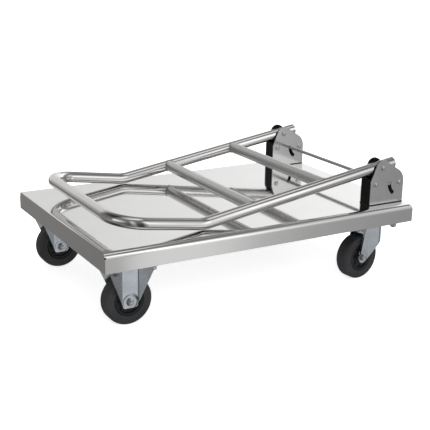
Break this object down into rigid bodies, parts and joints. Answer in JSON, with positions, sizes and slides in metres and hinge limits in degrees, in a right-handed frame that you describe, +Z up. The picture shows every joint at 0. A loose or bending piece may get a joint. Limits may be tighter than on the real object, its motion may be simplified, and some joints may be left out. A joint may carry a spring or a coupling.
{
  "type": "folding platform cart",
  "caption": "Flat steel deck cart on fixed and swivel casters; bent tube push handle folds down over the deck and unlatches with a foot bar.",
  "frame": {"origin": "on the floor, under the middle of the deck", "axes": "+X along the deck towards the handle hinges and swivel casters, +Y across it to the right of a person pushing from that end, +Z up from the floor"},
  "size_m": [0.74, 0.48, 0.2695],
  "materials": {
    "deck": "mirror-bright rolled stainless sheet with a fine grain",
    "underframe": "plain folded stainless sheet",
    "bracket": "satin stainless plate",
    "insert": "fine moulded black",
    "gasket": "plain black sheet",
    "fastener": "bright zinc plate",
    "pin": "turned and lightly polished",
    "spring": "drawn spring wire",
    "handle": "polished tube",
    "rung": "satin tube",
    "plug": "moulded black",
    "bush": "moulded black, self-lubricating",
    "fork": "bluish bright zinc plate",
    "ball": "hardened and polished",
    "sleeve": "drawn tube",
    "tyre": "solid dark rubber",
    "hub": "moulded dark plastic"
  },
  "bodies": {
    "chassis": {"deck_tray": "deck", "front_channel": "underframe", "middle_channel": "underframe", "rear_channel": "underframe", "left_hinge_bracket": "bracket", "right_hinge_bracket": "bracket", "left_hinge_insert": "insert", "right_hinge_insert": "insert", "left_gasket": "gasket", "right_gasket": "gasket", "bracket_bolts": "fastener", "bracket_nuts": "fastener", "pivot_pins": "pin", "stop_pins": "pin", "lever_pins": "pin", "caster_bolts": "fastener", "caster_washers": "fastener", "caster_nuts": "fastener", "left_fixed_fork": "fork", "right_fixed_fork": "fork", "fixed_axle_bolts": "fastener", "fixed_axle_nuts": "fastener", "fixed_axle_sleeves": "sleeve", "left_swivel_plate": "fork", "right_swivel_plate": "fork", "swivel_kingpins": "fork", "swivel_race_cups": "fork", "upper_race_balls": "ball", "lower_race_balls": "ball"},
    "handle": {"handle_tube": "handle", "upper_rung": "rung", "lower_rung": "rung", "left_tail_plug": "plug", "right_tail_plug": "plug", "left_pivot_bush": "bush", "right_pivot_bush": "bush"},
    "foot_release": {"release_bar": "pin", "left_latch_lever": "pin", "right_latch_lever": "pin", "left_latch_spring": "spring", "right_latch_spring": "spring"},
    "left_swivel": {"left_swivel_fork": "fork", "left_swivel_axle_bolt": "fastener", "left_swivel_axle_nut": "fastener", "left_swivel_axle_sleeve": "sleeve"},
    "right_swivel": {"right_swivel_fork": "fork", "right_swivel_axle_bolt": "fastener", "right_swivel_axle_nut": "fastener", "right_swivel_axle_sleeve": "sleeve"},
    "front_left_wheel": {"front_left_tyre": "tyre", "front_left_hub": "hub"},
    "front_right_wheel": {"front_right_tyre": "tyre", "front_right_hub": "hub"},
    "rear_left_wheel": {"rear_left_tyre": "tyre", "rear_left_hub": "hub"},
    "rear_right_wheel": {"rear_right_tyre": "tyre", "rear_right_hub": "hub"}
  },
  "joints": [
    {"name": "handle_fold", "type": "hinge", "parent": "chassis", "child": "handle", "pos_m": [0.3012, 0, 0.2515], "axis": [0, 1, 0], "range_deg": [0, 99]},
    {"name": "release_press", "type": "hinge", "parent": "chassis", "child": "foot_release", "pos_m": [0.3491, 0, 0.2151], "axis": [0, -1, 0], "range_deg": [0, 50], "stiffness_Nm_per_rad": 1, "springref_deg": -20.05, "deforming": ["left_latch_spring", "right_latch_spring"]},
    {"name": "swivel_left", "type": "hinge", "parent": "chassis", "child": "left_swivel", "pos_m": [0.29, -0.1843, 0.12], "axis": [0, 0, 1], "continuous": true},
    {"name": "swivel_right", "type": "hinge", "parent": "chassis", "child": "right_swivel", "pos_m": [0.29, 0.1843, 0.12], "axis": [0, 0, 1], "continuous": true},
    {"name": "wheel_front_left", "type": "hinge", "parent": "chassis", "child": "front_left_wheel", "pos_m": [-0.3027, -0.1843, 0.05], "axis": [0, 1, 0], "continuous": true},
    {"name": "wheel_front_right", "type": "hinge", "parent": "chassis", "child": "front_right_wheel", "pos_m": [-0.3027, 0.1843, 0.05], "axis": [0, 1, 0], "continuous": true},
    {"name": "wheel_rear_left", "type": "hinge", "parent": "left_swivel", "child": "rear_left_wheel", "pos_m": [0.26171, -0.18777, 0.05], "axis": [-0.1219, 0.9925, 0], "continuous": true},
    {"name": "wheel_rear_right", "type": "hinge", "parent": "right_swivel", "child": "rear_right_wheel", "pos_m": [0.2615, 0.1843, 0.05], "axis": [0, 1, 0], "continuous": true}
  ]
}
